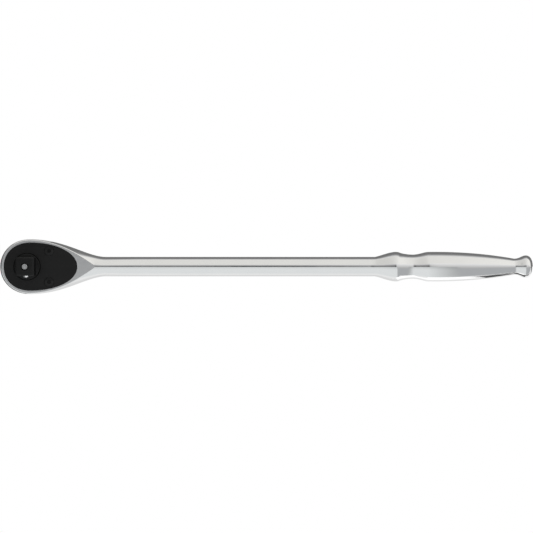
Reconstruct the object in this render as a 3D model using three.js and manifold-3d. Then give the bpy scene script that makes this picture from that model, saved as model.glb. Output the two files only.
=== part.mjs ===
// Long-handled ratchet wrench, 3/8 inch drive, millimetres.
// +X runs from the drive along the handle, +Z is the drive axis, pointing out of the drive square.
// The origin is on the drive axis, in the plane of the square's end face.
import * as THREE from 'three';
import { mergeVertices } from 'three/addons/utils/BufferGeometryUtils.js';
import Module from 'manifold-3d';

const wasm = await Module();
wasm.setup();

// ---------- driving dimensions ----------

const SQUARE = 9.525; // 3/8 inch drive, across flats
const SQUARE_LENGTH = 10.6;
const COLLAR_R = 6.8;
const COLLAR_RISE = 1.0;
const HEAD_THICKNESS = 11.6;
const HEAD_HALF_WIDTH = 14.38;
const SHANK_R = 5.1;

const NOSE_X = -14.5;
const HEAD_WIDEST_X = 1.1;
const ARROW_TIP_X = 35.5; // where the head's flats end in a point
const SHANK_X = 41;
const EASE_END_X = 62;
const BULGE_X = 182;
const BULGE_EDGE_X = 194.6;
const GROOVE_X = 201.9;
const PALM_X = 209.8;
const WAIST_X = 255.2;
const BELL_X = 261.2;
const END_X = 264.9;

const BULGE_EDGE_R = 7.55;
const GROOVE_R = 6.32;
const PALM_R = 7.72;
const WAIST_R = 4.2;
const BELL_R = 5.9;

const PLATE_NOSE_X = -12;
const PLATE_WIDEST_X = 2.1;
const PLATE_END_X = 26.1;
const PLATE_HALF_WIDTH = 12.5;
const PLATE_THICKNESS = 1.6;
const GASKET_THICKNESS = 0.25;
const BACK_WALL = 2.4;

const TEETH = 72;
const GEAR_TIP_R = 11.3;
const TOOTH_DEPTH = 0.55;
const GEAR_THICKNESS = 6.6;
const GEAR_POCKET_R = 11.6;
const BOSS_R = 6.0;

const PIN_R = 1.65;
const PIN_NECK_R = 0.95;
const PIN_RAMP = 0.7;
const PIN_NECK_LENGTH = 2;
const BUTTON_R = 4.1;
const BUTTON_FLANGE_R = 4.6;
const BUTTON_STAND = 2.2; // how far it stands out of the back
const BUTTON_BORE_R = 4.75;
const BUTTON_BORE_DEPTH = 5.6;
const BALL_R = 1.9;
const BALL_Y = -3.9;

const PAWL_X = 14.6; // pivot
const PAWL_PIN_R = 1.15;
const PAWL_HALF_WIDTH = 5.35;
const PAWL_ROCK = THREE.MathUtils.degToRad(4.5); // each way from the middle
const PAWL_THICKNESS = 5.8;

const LEVER_X = 20.4; // reversing lever's shaft
const LEVER_THROW = THREE.MathUtils.degToRad(25); // each way from the middle
const LEVER_SHAFT_R = 2.6;
const LEVER_HUB_R = 5;
const LEVER_ARM = 8.5;
const LEVER_TAB_R = 2.7;
const LEVER_THICKNESS = 2.35;
const PLUNGER_R = 0.85;
const PLUNGER_REACH = 3.3;

const SCREW_X = 11.45;
const SCREW_Y = 8.1;
const SCREW_R = 1.25;
const SCREW_HEAD_R = 2.45;
const SCREW_HEAD_DEPTH = 1.25;
const SCREW_LENGTH = 6.5;
const SCREW_SOCKET = 1.5; // across flats

const GAP = 0.15; // running clearance
const FACE_GAP = 0.05; // between faces that rest on each other

// ---------- levels along Z ----------

const HEAD_TOP = -SQUARE_LENGTH - COLLAR_RISE;
const HEAD_BACK = HEAD_TOP - HEAD_THICKNESS;
const MID = (HEAD_TOP + HEAD_BACK) / 2;
const LEDGE = HEAD_TOP - PLATE_THICKNESS - GASKET_THICKNESS - 3 * FACE_GAP;
const FLOOR = HEAD_BACK + BACK_WALL;
const GEAR_BOTTOM = FLOOR + 0.45;
const GEAR_TOP = GEAR_BOTTOM + GEAR_THICKNESS;
const PAWL_BOTTOM = FLOOR + 0.8;
const PAWL_MIDDLE = PAWL_BOTTOM + PAWL_THICKNESS / 2;
const BALL_Z = -SQUARE_LENGTH / 2;
const CLEAR = 5; // how far a cutting solid runs past what it cuts

// ---------- finishes ----------

const chrome = { color: 0xd6d8da, roughness: 0.12, metalness: 1 };
const satinSteel = { color: 0x9a9c9e, roughness: 0.4, metalness: 1 };
const blackSteel = { color: 0x1d1d1e, roughness: 0.42, metalness: 0.6 };
const brightSteel = { color: 0xc9cbcd, roughness: 0.2, metalness: 1 };
const springSteel = { color: 0x8b8d90, roughness: 0.35, metalness: 1 };
const rubber = { color: 0x161616, roughness: 0.8, metalness: 0 };
const gasketPaper = { color: 0x4a4640, roughness: 0.9, metalness: 0 };

// ---------- tools for making solids ----------

const v2 = (x, y) => new THREE.Vector2(x, y);

// A closed three.js geometry as a solid that can be joined and cut.
function solid(geometry) {
  const bare = new THREE.BufferGeometry();
  bare.setAttribute('position', geometry.getAttribute('position'));
  bare.setIndex(geometry.index);
  const merged = mergeVertices(bare, 1e-4);
  const kept = [];
  for (let i = 0; i < merged.index.count; i += 3) {
    const [a, b, c] = [0, 1, 2].map((k) => merged.index.getX(i + k));
    if (a !== b && b !== c && c !== a) kept.push(a, b, c);
  }
  const vertProperties = merged.attributes.position.array;
  const make = (triVerts) => new wasm.Manifold(new wasm.Mesh({ numProp: 3, vertProperties, triVerts }));
  const made = make(new Uint32Array(kept));
  return made.volume() > 0 ? made : make(new Uint32Array(kept.reverse()));
}

// A solid back as a three.js geometry.
function geometryOf(body) {
  const mesh = body.getMesh();
  const geometry = new THREE.BufferGeometry();
  const positions = new Float32Array(mesh.numVert * 3);
  for (let i = 0; i < mesh.numVert; i++) {
    positions.set(mesh.vertProperties.subarray(i * mesh.numProp, i * mesh.numProp + 3), i * 3);
  }
  geometry.setAttribute('position', new THREE.BufferAttribute(positions, 3));
  geometry.setIndex(new THREE.BufferAttribute(mesh.triVerts, 1));
  return geometry;
}

// A profile of [radius, z] points turned about Z.
function turned(profile, segments) {
  const points = profile.map(([r, z]) => v2(r, z));
  return solid(new THREE.LatheGeometry(points, segments).rotateX(Math.PI / 2));
}

// A ring of [radius, z] points turned about Z, closed on itself.
function ring(profile, segments) {
  return turned([...profile, profile[0]], segments);
}

// An upright cylinder between two levels.
function rod(radius, low, high, segments, x = 0, y = 0) {
  const geometry = new THREE.CylinderGeometry(radius, radius, high - low, segments);
  return solid(geometry.rotateX(Math.PI / 2).translate(x, y, (low + high) / 2));
}

// A flat outline raised between two levels.
function plate(shape, low, high, curveSegments = 12) {
  const options = { depth: high - low, bevelEnabled: false, curveSegments };
  return solid(new THREE.ExtrudeGeometry(shape, options).translate(0, 0, low));
}

// A block given by its lowest and highest corners.
function block(low, high) {
  const size = high.map((value, i) => value - low[i]);
  const centre = high.map((value, i) => (value + low[i]) / 2);
  return solid(new THREE.BoxGeometry(...size).translate(...centre));
}

// A rubber ring of round section, lying flat.
function oRing(radius, section, z) {
  const circle = new THREE.Path().absarc(radius, z, section, 0, 2 * Math.PI);
  return turned(circle.getPoints(4).map((p) => [p.x, p.y]), 28);
}

// A flat ring with a gap in it, as a shape.
function splitRing(outer, inner, gapAngle, facing) {
  const from = facing + gapAngle / 2;
  const to = facing - gapAngle / 2 + 2 * Math.PI;
  const shape = new THREE.Shape();
  shape.absarc(0, 0, outer, from, to, false);
  shape.absarc(0, 0, inner, to, from, true);
  return shape;
}

// The line of a coil spring about Z.
class Coil extends THREE.Curve {
  constructor(radius, low, high, turns) {
    super();
    Object.assign(this, { radius, low, high, turns });
  }

  getPoint(t, target = new THREE.Vector3()) {
    const angle = 2 * Math.PI * this.turns * t;
    return target.set(
      this.radius * Math.cos(angle),
      this.radius * Math.sin(angle),
      this.low + (this.high - this.low) * t,
    );
  }
}

function coilSpring(radius, wire, low, high, turns) {
  const section = new THREE.Shape().absarc(0, 0, wire, 0, 2 * Math.PI);
  const path = new Coil(radius, low + wire, high - wire, turns);
  const steps = Math.round(turns * 12);
  return solid(new THREE.ExtrudeGeometry(section, { steps, extrudePath: path, curveSegments: 3 }));
}

const group = new THREE.Group();
group.name = 'ratchet_wrench';

function add(name, body, finish) {
  const mesh = new THREE.Mesh(geometryOf(body), new THREE.MeshStandardMaterial(finish));
  mesh.geometry.computeVertexNormals();
  mesh.name = name;
  group.add(mesh);
}

// ---------- handle body: head, shank and grip forged in one ----------

// Half the width along X, as curves in the (radius, x) plane from the nose to the rear end.
function handleOutline() {
  const curve = (divisions, ...points) => {
    const [a, b, c, d] = points.map(([x, r]) => v2(r, x));
    return new THREE.CubicBezierCurve(a, b, c, d).getPoints(divisions);
  };
  const nose = curve(10, [NOSE_X, 0], [NOSE_X, 7.3],
    [-8.6, HEAD_HALF_WIDTH], [HEAD_WIDEST_X, HEAD_HALF_WIDTH]);
  const neck = curve(17, [HEAD_WIDEST_X, HEAD_HALF_WIDTH], [19.6, HEAD_HALF_WIDTH],
    [30.7, SHANK_R], [SHANK_X, SHANK_R]);
  const ease = new THREE.LineCurve(v2(SHANK_R, SHANK_X), v2(SHANK_R, EASE_END_X)).getPoints(6);
  const bulge = curve(8, [BULGE_X, SHANK_R], [185.7, 5.8], [191.3, 8.5], [BULGE_EDGE_X, BULGE_EDGE_R]);
  const grooveIn = curve(4, [BULGE_EDGE_X, BULGE_EDGE_R], [196.5, 6.7],
    [199.9, GROOVE_R], [GROOVE_X, GROOVE_R]);
  const grooveOut = curve(5, [GROOVE_X, GROOVE_R], [205, GROOVE_R], [207.7, 7.6], [PALM_X, PALM_R]);
  const palm = curve(9, [PALM_X, PALM_R], [225.3, 7.97], [240.3, 6.86], [WAIST_X, WAIST_R]);
  const bell = curve(5, [WAIST_X, WAIST_R], [258, WAIST_R], [259.3, BELL_R], [BELL_X, BELL_R]);
  const end = curve(6, [BELL_X, BELL_R], [264.3, BELL_R], [END_X, 2.4], [END_X, 0]);
  return [nose, neck, ease, bulge, grooveIn, grooveOut, palm, bell, end]
    .flatMap((points, i) => (i ? points.slice(i === 3 ? 0 : 1) : points));
}

// Half the depth of the head's section before its flats are cut: the flats narrow to a point
// where it falls to half the head's thickness, then the depth eases slowly into the round shank.
function headHalfDepth(x) {
  const half = HEAD_THICKNESS / 2;
  if (x < ARROW_TIP_X) return half + 0.08 * (ARROW_TIP_X - Math.max(x, HEAD_WIDEST_X)) ** 1.6;
  return half - (half - SHANK_R) * THREE.MathUtils.smoothstep(x, ARROW_TIP_X, EASE_END_X);
}

// Each ring of the blank is an ellipse; ahead of the widest point it also leans back as it rises,
// so the nose's wall bulges as the sides do.
function handleBlank() {
  const outline = handleOutline();
  const segments = 32;
  const noseLean = 1.6;
  const geometry = new THREE.LatheGeometry(outline, segments);
  const position = geometry.getAttribute('position');
  for (let i = 0; i < position.count; i++) {
    const { x: width, y: x } = outline[i % outline.length];
    const angle = (2 * Math.PI * Math.floor(i / outline.length)) / segments;
    const lean = x < HEAD_WIDEST_X ? Math.abs(Math.cos(angle)) ** noseLean : 1;
    const depth = x < EASE_END_X - 0.01 ? headHalfDepth(x) : width;
    position.setXYZ(i, HEAD_WIDEST_X + (x - HEAD_WIDEST_X) * lean,
      width * Math.cos(angle), depth * Math.sin(angle));
  }
  const room = 60;
  const blank = solid(geometry.translate(0, 0, MID));
  const above = block([NOSE_X - CLEAR, -room, HEAD_TOP], [SHANK_X, room, HEAD_TOP + room]);
  const below = block([NOSE_X - CLEAR, -room, HEAD_BACK - room], [SHANK_X, room, HEAD_BACK]);
  return blank.subtract(above).subtract(below);
}

// The egg outline of the cover plate, grown by an offset.
function eggShape(grow = 0) {
  const nose = PLATE_NOSE_X - grow;
  const end = PLATE_END_X + grow;
  const half = PLATE_HALF_WIDTH + grow;
  const shape = new THREE.Shape();
  shape.moveTo(nose, 0);
  shape.bezierCurveTo(nose, -7.5, PLATE_WIDEST_X - 8.6, -half, PLATE_WIDEST_X, -half);
  shape.bezierCurveTo(PLATE_WIDEST_X + 12, -half, end, -7.9, end, 0);
  shape.bezierCurveTo(end, 7.9, PLATE_WIDEST_X + 12, half, PLATE_WIDEST_X, half);
  shape.bezierCurveTo(PLATE_WIDEST_X - 8.6, half, nose, 7.5, nose, 0);
  return shape;
}

// The pocket that holds the pawl and the reversing shaft, open to the gear pocket.
function pawlPocketShape() {
  const half = 6.1;
  const round = 3.6;
  const shape = new THREE.Shape();
  shape.moveTo(6, -half);
  shape.lineTo(PAWL_X, -half);
  shape.quadraticCurveTo(18, -half, LEVER_X, -round);
  shape.absarc(LEVER_X, 0, round, -Math.PI / 2, Math.PI / 2, false);
  shape.quadraticCurveTo(18, half, PAWL_X, half);
  shape.lineTo(6, half);
  return shape;
}

const screwPlaces = [['cover_screw_upper', 1], ['cover_screw_lower', -1]];
const SEAL_SEAT_R = 7.3;
const SEAL_SEAT_DEPTH = 0.7;
const PIVOT_HOLE_DEPTH = 1.3;

function handleBody() {
  let body = handleBlank();
  body = body.subtract(plate(eggShape(0.12), LEDGE, HEAD_TOP + CLEAR));
  body = body.subtract(rod(GEAR_POCKET_R, FLOOR, LEDGE + 1, 48));
  body = body.subtract(plate(pawlPocketShape(), FLOOR, LEDGE + 1));
  body = body.subtract(rod(SEAL_SEAT_R, FLOOR - SEAL_SEAT_DEPTH, FLOOR + 1, 36));
  body = body.subtract(rod(BOSS_R + GAP, HEAD_BACK - CLEAR, FLOOR, 36));
  body = body.subtract(rod(LEVER_SHAFT_R + GAP, HEAD_BACK - CLEAR, FLOOR + 1, 32, LEVER_X));
  body = body.subtract(rod(PAWL_PIN_R + GAP / 2, FLOOR - PIVOT_HOLE_DEPTH, FLOOR + 1, 20, PAWL_X));
  for (const [, side] of screwPlaces) {
    const depth = SCREW_LENGTH + 0.6;
    body = body.subtract(rod(SCREW_R + GAP / 2, HEAD_TOP - depth, HEAD_TOP, 20, SCREW_X, side * SCREW_Y));
  }
  return body;
}

add('handle_body', handleBody(), chrome);

// ---------- cover plate, gasket and screws ----------

const PLATE_TOP = HEAD_TOP - FACE_GAP;
const PLATE_BOTTOM = PLATE_TOP - PLATE_THICKNESS;

function coverPlate() {
  let body = plate(eggShape(), PLATE_BOTTOM, PLATE_TOP, 16);
  body = body.subtract(rod(COLLAR_R + 0.2, PLATE_BOTTOM - 1, PLATE_TOP + 1, 48));
  for (const [, side] of screwPlaces) {
    const slope = (SCREW_HEAD_R - SCREW_R) / SCREW_HEAD_DEPTH;
    const top = SCREW_HEAD_R + 2 * GAP + slope;
    const countersink = turned([
      [0, PLATE_TOP - SCREW_HEAD_DEPTH], [SCREW_R + GAP, PLATE_TOP - SCREW_HEAD_DEPTH],
      [top, PLATE_TOP + 1], [0, PLATE_TOP + 1],
    ], 24).translate([SCREW_X, side * SCREW_Y, 0]);
    const hole = rod(SCREW_R + GAP, PLATE_BOTTOM - 1, PLATE_TOP, 24, SCREW_X, side * SCREW_Y);
    body = body.subtract(countersink).subtract(hole);
  }
  return body;
}

function coverGasket() {
  const bottom = LEDGE + FACE_GAP;
  let body = plate(eggShape(), bottom, bottom + GASKET_THICKNESS);
  body = body.subtract(rod(GEAR_POCKET_R, bottom - 1, bottom + 1, 48));
  body = body.subtract(plate(pawlPocketShape(), bottom - 1, bottom + 1));
  for (const [, side] of screwPlaces) {
    body = body.subtract(rod(SCREW_R + GAP, bottom - 1, bottom + 1, 20, SCREW_X, side * SCREW_Y));
  }
  return body;
}

function coverScrew() {
  const top = PLATE_TOP - FACE_GAP;
  const blank = turned([
    [0, top - SCREW_LENGTH], [SCREW_R - 0.3, top - SCREW_LENGTH], [SCREW_R, top - SCREW_LENGTH + 0.3],
    [SCREW_R, top - SCREW_HEAD_DEPTH], [SCREW_HEAD_R, top - 0.12], [SCREW_HEAD_R, top], [0, top],
  ], 24);
  const socket = rod(SCREW_SOCKET / Math.sqrt(3), top - 1.1, top + 1, 6);
  return blank.subtract(socket);
}

add('cover_plate', coverPlate(), blackSteel);
add('cover_gasket', coverGasket(), gasketPaper);
for (const [name, side] of screwPlaces) {
  add(name, coverScrew().translate([SCREW_X, side * SCREW_Y, 0]), blackSteel);
}

// ---------- drive gear: tooth ring, collar, square and boss in one ----------

// The outline of the teeth, each a plain V between two roots; tips can be grown for clearance.
function gearShape(grow = 0) {
  const shape = new THREE.Shape();
  const points = [];
  for (let i = 0; i < 2 * TEETH; i++) {
    const angle = (Math.PI * i) / TEETH;
    const radius = GEAR_TIP_R + grow - (i % 2 ? TOOTH_DEPTH : 0);
    points.push(v2(radius * Math.cos(angle), radius * Math.sin(angle)));
  }
  return shape.setFromPoints(points);
}

function squareShape() {
  const half = SQUARE / 2;
  const round = 0.8;
  const shape = new THREE.Shape();
  for (let corner = 0; corner < 4; corner++) {
    const angle = (corner * Math.PI) / 2;
    const inner = v2(half - round, half - round).rotateAround(v2(0, 0), angle);
    shape.absarc(inner.x, inner.y, round, angle, angle + Math.PI / 2, false);
  }
  return shape;
}

const RETAINER_Z = HEAD_BACK + 0.6;
const RETAINER_THICKNESS = 0.6;
const RETAINER_R = 5.2;

function driveGear() {
  const chamfer = 0.45;
  const squareOptions = {
    depth: SQUARE_LENGTH, bevelThickness: chamfer, bevelSize: chamfer,
    bevelOffset: -chamfer, bevelSegments: 1, curveSegments: 3,
  };
  const square = new THREE.ExtrudeGeometry(squareShape(), squareOptions);
  let body = plate(gearShape(), GEAR_BOTTOM, GEAR_TOP);
  body = body.add(solid(square.translate(0, 0, -SQUARE_LENGTH - chamfer)));
  body = body.add(turned([
    [0, GEAR_TOP - 1], [COLLAR_R, GEAR_TOP - 1], [COLLAR_R, -SQUARE_LENGTH - 0.3],
    [COLLAR_R - 0.3, -SQUARE_LENGTH], [0, -SQUARE_LENGTH],
  ], 48));
  body = body.add(rod(BOSS_R, HEAD_BACK, GEAR_BOTTOM + 1, 36));
  body = body.subtract(rod(PIN_R + GAP, HEAD_BACK - 1, 1, 24));
  body = body.subtract(rod(BUTTON_BORE_R, HEAD_BACK - 1, HEAD_BACK + BUTTON_BORE_DEPTH, 32));
  const grooveLow = RETAINER_Z - FACE_GAP;
  const grooveHigh = RETAINER_Z + RETAINER_THICKNESS + FACE_GAP;
  body = body.subtract(rod(RETAINER_R + 0.1, grooveLow, grooveHigh, 32));
  const lip = 0.3; // the ball's pocket is staked a little smaller at its mouth
  const pocket = new THREE.CylinderGeometry(BALL_R + 0.1, BALL_R + 0.1, SQUARE / 2 - lip, 24);
  const mouth = new THREE.CylinderGeometry(BALL_R - 0.03, BALL_R - 0.03, 2, 24);
  body = body.subtract(solid(pocket.translate(0, -(SQUARE / 2 - lip) / 2, BALL_Z)));
  return body.subtract(solid(mouth.translate(0, -SQUARE / 2, BALL_Z)));
}

add('drive_gear', driveGear(), blackSteel);

add('gear_thrust_washer', ring([
  [7.6, FLOOR + 0.08], [10.4, FLOOR + 0.08], [10.4, FLOOR + 0.38], [7.6, FLOOR + 0.38],
], 36), springSteel);

add('gear_boss_seal', oRing(6.7, 0.48, FLOOR - 0.16), rubber);

// ---------- quick release: pin, button, spring, retaining ring and ball ----------

// The pin holds the ball out with its full width, and its neck lets the ball in when pushed.
function releasePin() {
  const hold = BALL_Z - 0.1;
  const bottom = HEAD_BACK - 0.6;
  return turned([
    [0, bottom], [PIN_R, bottom],
    [PIN_R, hold - 2 * PIN_RAMP - PIN_NECK_LENGTH], [PIN_NECK_R, hold - PIN_RAMP - PIN_NECK_LENGTH],
    [PIN_NECK_R, hold - PIN_RAMP], [PIN_R, hold],
    [PIN_R, -0.2], [PIN_R - 0.2, 0], [0, 0],
  ], 24);
}

const FLANGE_LOW = RETAINER_Z + RETAINER_THICKNESS + 0.1;
const FLANGE_HIGH = FLANGE_LOW + 0.8;

function releaseButton() {
  const face = HEAD_BACK - BUTTON_STAND;
  const dome = new THREE.QuadraticBezierCurve(
    v2(0, face), v2(BUTTON_R - 0.3, face), v2(BUTTON_R, face + 0.7),
  );
  const body = turned([
    ...dome.getPoints(4).map((p) => [p.x, p.y]),
    [BUTTON_R, FLANGE_LOW], [BUTTON_FLANGE_R, FLANGE_LOW], [BUTTON_FLANGE_R, FLANGE_HIGH], [0, FLANGE_HIGH],
  ], 32);
  return body.subtract(rod(PIN_R + FACE_GAP, HEAD_BACK - 0.7, FLANGE_HIGH + 1, 24));
}

add('release_pin', releasePin(), brightSteel);
add('release_button', releaseButton(), blackSteel);
add('release_spring',
  coilSpring(3, 0.22, FLANGE_HIGH + FACE_GAP, HEAD_BACK + BUTTON_BORE_DEPTH - FACE_GAP, 4), springSteel);
add('button_retaining_ring',
  plate(splitRing(RETAINER_R, BUTTON_R + 0.1, 0.6, 0), RETAINER_Z, RETAINER_Z + RETAINER_THICKNESS, 28),
  springSteel);
add('detent_ball',
  solid(new THREE.SphereGeometry(BALL_R, 18, 12).rotateX(Math.PI / 2).translate(0, BALL_Y, BALL_Z)),
  brightSteel);

// ---------- pawl and its pivot pin ----------

// A double-ended pawl, the same on both sides of X; one end at a time reaches the gear.
function pawlShape() {
  const seat = PLUNGER_REACH + 0.1;
  const seatAngle = THREE.MathUtils.degToRad(38);
  const shape = new THREE.Shape();
  shape.moveTo(9, -PAWL_HALF_WIDTH);
  shape.lineTo(12.4, -PAWL_HALF_WIDTH);
  shape.quadraticCurveTo(15.4, -4.6, LEVER_X - seat * Math.cos(seatAngle), -seat * Math.sin(seatAngle));
  shape.absarc(LEVER_X, 0, seat, Math.PI + seatAngle, Math.PI - seatAngle, true);
  shape.quadraticCurveTo(15.4, 4.6, 12.4, PAWL_HALF_WIDTH);
  shape.lineTo(9, PAWL_HALF_WIDTH);
  return shape;
}

function turnedAboutPivot(body, angle) {
  const degrees = THREE.MathUtils.radToDeg(angle);
  return body.translate([-PAWL_X, 0, 0]).rotate([0, 0, degrees]).translate([PAWL_X, 0, 0]);
}

function pawl() {
  const low = PAWL_BOTTOM - 1;
  const high = PAWL_BOTTOM + PAWL_THICKNESS + 1;
  const gear = plate(gearShape(0.12), low, high);
  const middle = block([0, -2.6, low], [GEAR_TIP_R + 0.5, 2.6, high]);
  let body = plate(pawlShape(), PAWL_BOTTOM, PAWL_BOTTOM + PAWL_THICKNESS);
  body = body.subtract(rod(PAWL_PIN_R + GAP, low, high, 20, PAWL_X));
  body = body.subtract(middle);
  for (const side of [1, -1]) body = body.subtract(turnedAboutPivot(gear, -side * PAWL_ROCK));
  return turnedAboutPivot(body, PAWL_ROCK);
}

add('pawl', pawl(), springSteel);
add('pawl_pivot_pin',
  rod(PAWL_PIN_R, FLOOR - PIVOT_HOLE_DEPTH + 0.1, PLATE_BOTTOM - 0.1, 20, PAWL_X), brightSteel);

// ---------- reversing lever, with its plunger, spring, seal and retaining ring ----------

// Hub and thumb tab under one skin: two circles joined by their common tangents.
function leverShape() {
  const lean = Math.acos((LEVER_HUB_R - LEVER_TAB_R) / LEVER_ARM);
  const shape = new THREE.Shape();
  shape.absarc(0, 0, LEVER_HUB_R, lean, 2 * Math.PI - lean, false);
  shape.absarc(LEVER_ARM, 0, LEVER_TAB_R, -lean, lean, false);
  return shape;
}

const LEVER_RING_Z = FLOOR + 0.1;
const LEVER_RING_THICKNESS = 0.5;
const SHAFT_TOP = PLATE_BOTTOM - GASKET_THICKNESS - 0.3;

function leverWithShaft() {
  const top = HEAD_BACK - 0.2;
  const chamfer = 0.4;
  const options = {
    depth: LEVER_THICKNESS - 2 * chamfer, bevelThickness: chamfer, bevelSize: chamfer,
    bevelOffset: -chamfer, bevelSegments: 1, curveSegments: 10,
  };
  const paddle = new THREE.ExtrudeGeometry(leverShape(), options);
  let body = solid(paddle.translate(0, 0, top - LEVER_THICKNESS + chamfer));
  const seal = { low: HEAD_BACK + 0.7, high: HEAD_BACK + 1.5, r: 1.9 };
  const clip = { low: LEVER_RING_Z - FACE_GAP, high: LEVER_RING_Z + LEVER_RING_THICKNESS + FACE_GAP, r: 2.1 };
  body = body.add(turned([
    [0, top - 1], [LEVER_SHAFT_R, top - 1],
    [LEVER_SHAFT_R, seal.low], [seal.r, seal.low], [seal.r, seal.high], [LEVER_SHAFT_R, seal.high],
    [LEVER_SHAFT_R, clip.low], [clip.r, clip.low], [clip.r, clip.high], [LEVER_SHAFT_R, clip.high],
    [LEVER_SHAFT_R, SHAFT_TOP - 0.3], [LEVER_SHAFT_R - 0.3, SHAFT_TOP], [0, SHAFT_TOP],
  ], 32));
  const bore = new THREE.CylinderGeometry(PLUNGER_R + 0.1, PLUNGER_R + 0.1, LEVER_SHAFT_R + 3, 20);
  bore.rotateZ(Math.PI / 2).translate(-(LEVER_SHAFT_R + 3) / 2 + 1.8, 0, PAWL_MIDDLE);
  return body.subtract(solid(bore));
}

// The plunger lies along -X from the shaft, with a round tip.
function plunger() {
  const tail = 1.1;
  const shoulder = PLUNGER_REACH - PLUNGER_R;
  const tip = new THREE.Path().absarc(0, shoulder, PLUNGER_R, 0, Math.PI / 2);
  const body = turned([[0, tail], [PLUNGER_R, tail], ...tip.getPoints(3).map((p) => [p.x, p.y])], 16);
  return body.rotate([0, -90, 0]).translate([0, 0, PAWL_MIDDLE]);
}

function plungerSpring() {
  return coilSpring(0.6, 0.12, -1.7, 1.05, 4).rotate([0, -90, 0]).translate([0, 0, PAWL_MIDDLE]);
}

const leverPieces = [
  ['reverse_lever', leverWithShaft(), blackSteel],
  ['lever_shaft_seal', oRing(2.27, 0.34, HEAD_BACK + 1.1), rubber],
  ['lever_retaining_ring',
    plate(splitRing(3.3, 2.2, 1.2, Math.PI), LEVER_RING_Z, LEVER_RING_Z + LEVER_RING_THICKNESS, 24),
    springSteel],
  ['pawl_plunger', plunger(), brightSteel],
  ['plunger_spring', plungerSpring(), springSteel],
];
for (const [name, body, finish] of leverPieces) {
  const degrees = -THREE.MathUtils.radToDeg(LEVER_THROW);
  add(name, body.rotate([0, 0, degrees]).translate([LEVER_X, 0, 0]), finish);
}

export default group;
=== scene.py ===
import math

import bmesh
import bpy
from mathutils import Matrix, Vector
from mathutils.geometry import tessellate_polygon


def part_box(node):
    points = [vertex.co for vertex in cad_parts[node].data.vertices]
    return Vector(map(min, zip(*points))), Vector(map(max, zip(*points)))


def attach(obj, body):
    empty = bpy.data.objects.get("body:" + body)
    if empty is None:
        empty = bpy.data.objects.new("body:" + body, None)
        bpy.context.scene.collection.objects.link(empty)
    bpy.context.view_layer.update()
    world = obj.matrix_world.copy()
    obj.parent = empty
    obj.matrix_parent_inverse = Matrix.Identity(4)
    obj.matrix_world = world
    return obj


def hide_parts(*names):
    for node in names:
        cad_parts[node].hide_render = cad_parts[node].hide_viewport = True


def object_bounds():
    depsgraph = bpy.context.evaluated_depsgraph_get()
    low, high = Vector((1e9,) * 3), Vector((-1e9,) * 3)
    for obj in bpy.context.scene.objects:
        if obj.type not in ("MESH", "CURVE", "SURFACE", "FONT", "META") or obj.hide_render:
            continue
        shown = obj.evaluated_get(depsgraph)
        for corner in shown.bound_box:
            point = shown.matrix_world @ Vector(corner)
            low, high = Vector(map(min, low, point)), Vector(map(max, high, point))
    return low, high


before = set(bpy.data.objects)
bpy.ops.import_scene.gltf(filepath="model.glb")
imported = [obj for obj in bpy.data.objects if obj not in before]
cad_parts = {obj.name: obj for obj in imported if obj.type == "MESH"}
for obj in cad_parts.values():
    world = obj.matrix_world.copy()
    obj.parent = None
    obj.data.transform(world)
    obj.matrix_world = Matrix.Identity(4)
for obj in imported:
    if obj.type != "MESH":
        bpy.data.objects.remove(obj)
cad_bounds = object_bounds()

# Finished surfaces of a long-handled ratchet wrench. +X runs along the handle and +Z out of the drive.
# Outlines are in millimetres in the frame's axes, and a piece becomes metres when it is made.

MM = 0.001


def low(node):
    """A CAD node's lowest corner, in millimetres."""
    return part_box(node)[0] / MM


def high(node):
    """A CAD node's highest corner, in millimetres."""
    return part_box(node)[1] / MM


# ---------- sizes ----------

# Head, shank and grip, along X.
NOSE_X = low("handle_body").x
HEAD_WIDEST_X = 1.1
ARROW_TIP_X = 35.5
SHANK_X = 41.0
EASE_END_X = 62.0
BULGE_X = 182
BULGE_EDGE_X = 194.6
GROOVE_X = 201.9
PALM_X = 209.8
WAIST_X = 255.2
BELL_X = 261.2
END_X = high("handle_body").x

HEAD_HALF_WIDTH = high("handle_body").y
SHANK_R = 5.1
BULGE_EDGE_R = 7.55
GROOVE_R = 6.32
PALM_R = 7.72
WAIST_R = 4.2
BELL_R = 5.9

# The handle's outline from the nose to the rear end, as cubic curves that follow each other:
# two control points (x, half width), the end point and the number of steps.
HANDLE_CURVES = (
    ((NOSE_X, 7.3), (-8.6, HEAD_HALF_WIDTH), (HEAD_WIDEST_X, HEAD_HALF_WIDTH), 64),
    ((19.6, HEAD_HALF_WIDTH), (30.7, SHANK_R), (SHANK_X, SHANK_R), 110),
    ((88, SHANK_R), (135, SHANK_R), (BULGE_X, SHANK_R), 60),
    ((185.7, 5.8), (191.3, 8.5), (BULGE_EDGE_X, BULGE_EDGE_R), 40),
    ((196.5, 6.7), (199.9, GROOVE_R), (GROOVE_X, GROOVE_R), 24),
    ((205, GROOVE_R), (207.7, 7.6), (PALM_X, PALM_R), 28),
    ((225.3, 7.97), (240.3, 6.86), (WAIST_X, WAIST_R), 70),
    ((258, WAIST_R), (259.3, BELL_R), (BELL_X, BELL_R), 26),
    ((264.3, BELL_R), (END_X, 2.4), (END_X, 0), 34),
)

# The head's wall: how it bulges in depth, leans back ahead of the widest point and meets the flats.
HEAD_BULGE = 0.08
HEAD_BULGE_POWER = 1.6
NOSE_LEAN = 1.6
WALL_STEPS = 56
CORNER_STEPS = 5
EDGE_ROUND = 0.3
NOSE_EXTRA_ROUND = 0.4
NOSE_ROUND_END_X = HEAD_WIDEST_X + 5
NOSE_ROUND_LENGTH = 18
TIP_FADE = 5

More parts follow.
